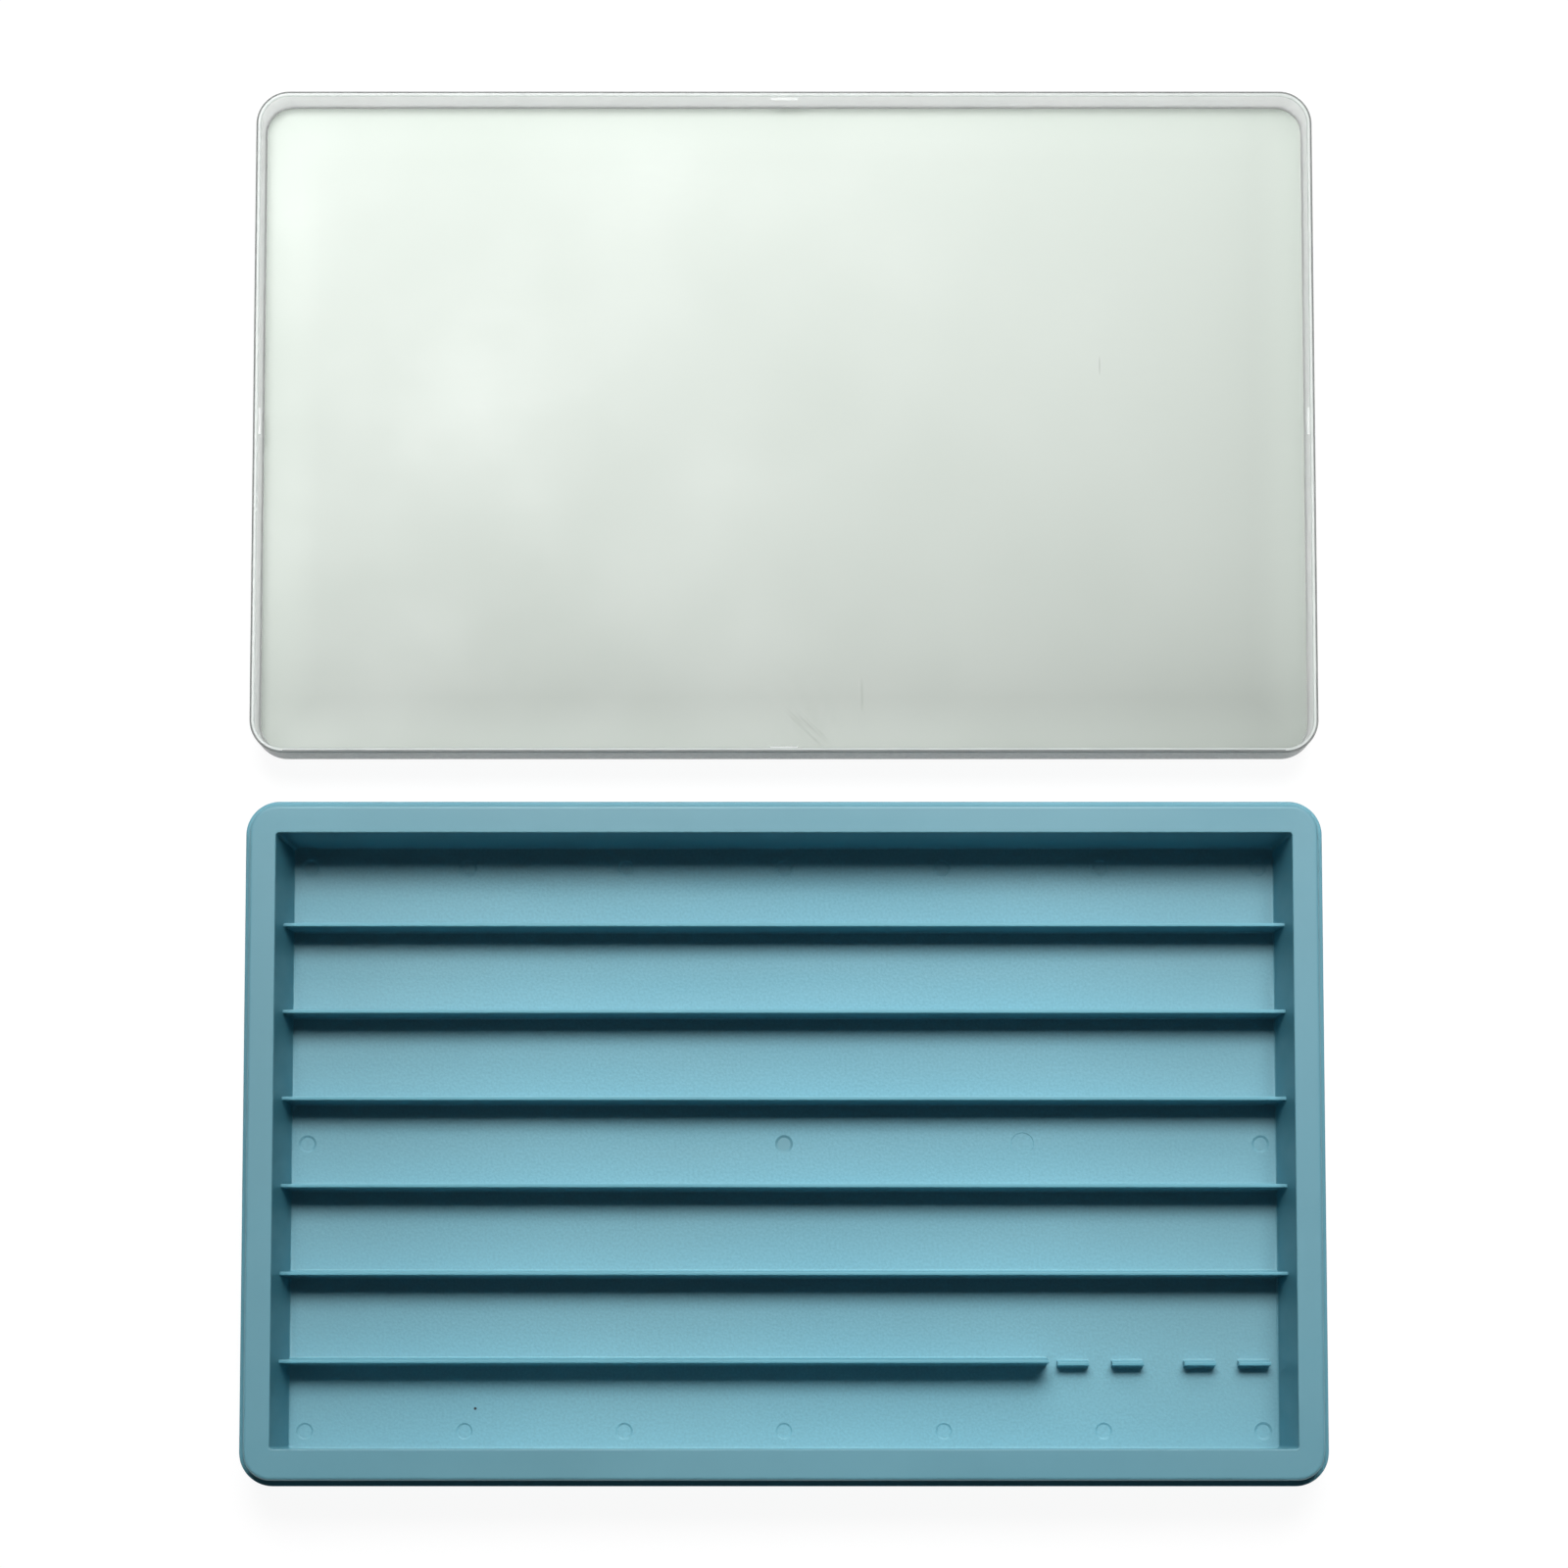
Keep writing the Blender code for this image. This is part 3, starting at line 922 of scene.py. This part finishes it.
def lid_plastic(name, tone):
    """Frosted plastic: grey-green, hazy and partly clear. The tone darkens its outside: painted
    shade.
    """
    s = Surface(name)
    cloud = s.noise(30.0, 3.0)
    haze = s.noise(900.0, 2.0)
    scuff = s.noise(160.0, 4.0, 0.6, stretch=(1.0, 0.25, 1.0))
    colour = s.mix(s.remap(cloud, 0.3, 0.7), *shades(LID_GREY, 0.95 * tone, 1.04 * tone))
    colour = s.mix(s.remap(scuff, 0.62, 0.72, 0.0, 0.35), colour,
                   shades(LID_GREY, 1.08 * tone)[0])
    # The rim's top goes darker: painted shade.
    rim = s.remap(s.axis("Z"), (LID_HI.z - 1.0) * MM, (LID_HI.z - 0.3) * MM)
    colour = s.mix(rim, colour, shades(LID_GREY, LID_RIM_SHADE_TONE * tone)[0])
    s.set(Base_Color=colour)
    s.set(Roughness=s.remap(haze, 0.3, 0.7, 0.36, 0.5))
    s.set(Normal=s.bump(haze, 0.00003, 0.4))
    s.set(IOR=1.5, Transmission_Weight=0.25, Alpha=0.8)
    s.set(Subsurface_Weight=1.0, Subsurface_Scale=4.0 * MM)
    s.shader.inputs["Subsurface Radius"].default_value = (1.0, 1.0, 1.0)
    return s.material


def damp_paper():
    """Membrane paper: faint fibres, damp clouds, one hairline scratch and three creases."""
    s = Surface("damp_paper")
    dark, plain, light = shades(PAPER_GREY, 0.95, 1.0, 1.04)
    cloud = s.noise(14.0, 4.0, 0.55)
    fibre = s.noise(420.0, 3.0, 0.6, stretch=(0.35, 1.0, 1.0))
    colour = s.mix(s.remap(cloud, 0.3, 0.7), dark, light)
    colour = s.mix(s.remap(fibre, 0.3, 0.75, 0.0, 0.35), colour, plain)
    half_x, half_y = [side / 2 for side in (PAPER_HI - PAPER_LO).xy]
    to_front = s.remap(s.axis("Y"), (PAPER_HI.y - PAPER_FADE_START) * MM, PAPER_LO.y * MM,
                       0.0, PAPER_FRONT_SHARE)
    colour = s.mix(to_front, colour, shades(PAPER_GREY, PAPER_FRONT_TONE)[0])
    across = s.remap(s.math("ABSOLUTE", s.axis("X")), (half_x - PAPER_BORDER_W) * MM,
                     half_x * MM)
    along = s.math("ABSOLUTE", s.math("SUBTRACT", s.axis("Y"), (PAPER_LO.y + half_y) * MM))
    along = s.remap(along, (half_y - PAPER_BORDER_W) * MM, half_y * MM)
    border = s.math("MULTIPLY", s.math("MAXIMUM", across, along), PAPER_BORDER_SHARE)
    colour = s.mix(border, colour, shades(PAPER_GREY, PAPER_BORDER_TONE)[0])
    scratch = s.remap(s.reach(SCRATCH, stretch=SCRATCH_STRETCH), SCRATCH_R * MM,
                      SCRATCH_CORE_R * MM)
    colour = s.mix(scratch, colour, shades(PAPER_GREY, SCRATCH_TONE)[0])
    s.set(Base_Color=colour)
    s.set(Roughness=s.remap(cloud, 0.3, 0.7, 0.42, 0.56))
    under = s.bump(fibre, 0.00003, 0.5)
    for start, end in CREASES:
        under = s.bump(s.line(start, end, CREASE_HALF_WIDTH), CREASE_FOLD, 1.0, under)
    s.set(Normal=under)
    return s.material


def wet_sponge():
    """Open-cell sponge, damp, with fine and coarse pores."""
    s = Surface("wet_sponge")
    pores = s.cells(1500.0)
    coarse = s.cells(620.0)
    dark, light = shades(SPONGE_GREY, 0.55, 1.08)
    colour = s.mix(s.remap(pores, 0.05, 0.35), dark, light)
    s.set(Base_Color=s.mix(s.remap(coarse, 0.05, 0.2), dark, colour))
    s.set(Roughness=s.remap(pores, 0.0, 0.5, 0.95, 0.7))
    s.set(Normal=s.bump(s.math("ADD", pores, coarse), 0.0004, 0.8))
    return s.material


def table_top():
    """Plain pale floor, mostly its own light, so it stays white round the pieces."""
    s = Surface("table_top")
    cloud = s.noise(9.0, 3.0)
    s.set(Base_Color=s.mix(cloud, (0.08, 0.08, 0.08, 1.0), (0.10, 0.10, 0.10, 1.0)))
    s.set(Roughness=0.9)
    s.shader.inputs["Specular IOR Level"].default_value = 0.1
    s.shader.inputs["Emission Color"].default_value = (1.0, 1.0, 1.0, 1.0)
    s.shader.inputs["Emission Strength"].default_value = TABLE_GLOW
    return s.material


# ---------------------------------------------------------------- stage, lights, camera
CAMERA_PLACE = (0.0, -143.2, 1100.0)
CAMERA_TILT = 5.35
CAMERA_LENS = 98.9
CAMERA_SENSOR = 36.0
CAMERA_SHIFT_Y = 0.10
CAMERA_FAR = 100.0
STAGE_SIDE = 60.0
STAGE_Z = -0.0002
WORLD_LIGHT = 0.04


def build_stage():
    bpy.ops.mesh.primitive_plane_add(size=STAGE_SIDE, location=(0.0, 0.0, STAGE_Z))
    floor = bpy.context.object
    floor.name = "floor"
    floor.data.materials.append(table_top())
    return floor


def area_light(name, place, target, size, power, pieces, spread=180.0):
    """A panel aimed at a target, in metres, that lights only the given pieces."""
    light = bpy.data.lights.new(name, "AREA")
    light.shape = "RECTANGLE"
    light.size, light.size_y = size
    light.energy = power
    light.spread = math.radians(spread)
    lamp = bpy.data.objects.new(name, light)
    lamp.location = place
    aim = Vector(target) - Vector(place)
    lamp.rotation_euler = aim.to_track_quat("-Z", "Y").to_euler()
    lamp.visible_camera = False
    receivers = bpy.data.collections.new(name + "_lights")
    for piece in pieces:
        receivers.objects.link(piece)
    lamp.light_linking.receiver_collection = receivers
    bpy.context.scene.collection.objects.link(lamp)


def build_lights(floor, tray, lid_pieces):
    """Panels linked to one group each: tray with floor, or lid with its contents."""
    area_light("key_panel", (0.09, 0.60, 1.27), (0.06, -0.060, 0.0), (1.1, 0.50), 3.2,
               [floor, tray], 54.0)
    area_light("back_panel", (0.08, 0.89, 0.85), (0.03, -0.09, 0.0), (1.2, 0.52), 3.0,
               [floor, tray], 130.0)
    area_light("lid_canopy", (-0.16, 0.38, 1.15), (-0.12, 0.33, 0.0), (2.0, 2.0), 22.0,
               lid_pieces)
    area_light("lid_panel", (-0.10, 0.42, 1.28), (-0.06, 0.27, 0.0), (0.36, 0.30), 1.25,
               lid_pieces, 60.0)
    area_light("left_panel", (-0.34, 0.30, 1.22), (-0.20, 0.19, 0.0), (0.30, 0.30), 1.30,
               lid_pieces, 75.0)
    area_light("lid_front_fill", (0.0, -0.72, 0.34), (0.0, 0.17, 0.01), (0.9, 0.25), 5.4,
               lid_pieces)
    area_light("lid_right_fill", (0.98, 0.09, 0.34), (-0.13, 0.09, 0.01), (0.25, 0.6), 4.6,
               lid_pieces)
    world = bpy.data.worlds.new("studio")
    world.use_nodes = True
    background = world.node_tree.nodes["Background"]
    background.inputs["Color"].default_value = (1.0, 1.0, 1.0, 1.0)
    background.inputs["Strength"].default_value = WORLD_LIGHT
    bpy.context.scene.world = world


def build_camera():
    data = bpy.data.cameras.new("camera")
    data.lens = CAMERA_LENS
    data.sensor_width = CAMERA_SENSOR
    data.shift_y = CAMERA_SHIFT_Y
    data.clip_end = CAMERA_FAR
    camera = bpy.data.objects.new("camera", data)
    camera.location = [c * MM for c in CAMERA_PLACE]
    camera.rotation_euler = (math.radians(CAMERA_TILT), 0.0, 0.0)
    bpy.context.scene.collection.objects.link(camera)
    bpy.context.scene.camera = camera


def main():
    build_camera()
    floor = build_stage()
    tray = build_tray()
    lid_pieces = [build_lid(), build_sponge(), build_paper()]
    build_lights(floor, tray, lid_pieces)
    bpy.context.scene.view_settings.view_transform = "Standard"


main()
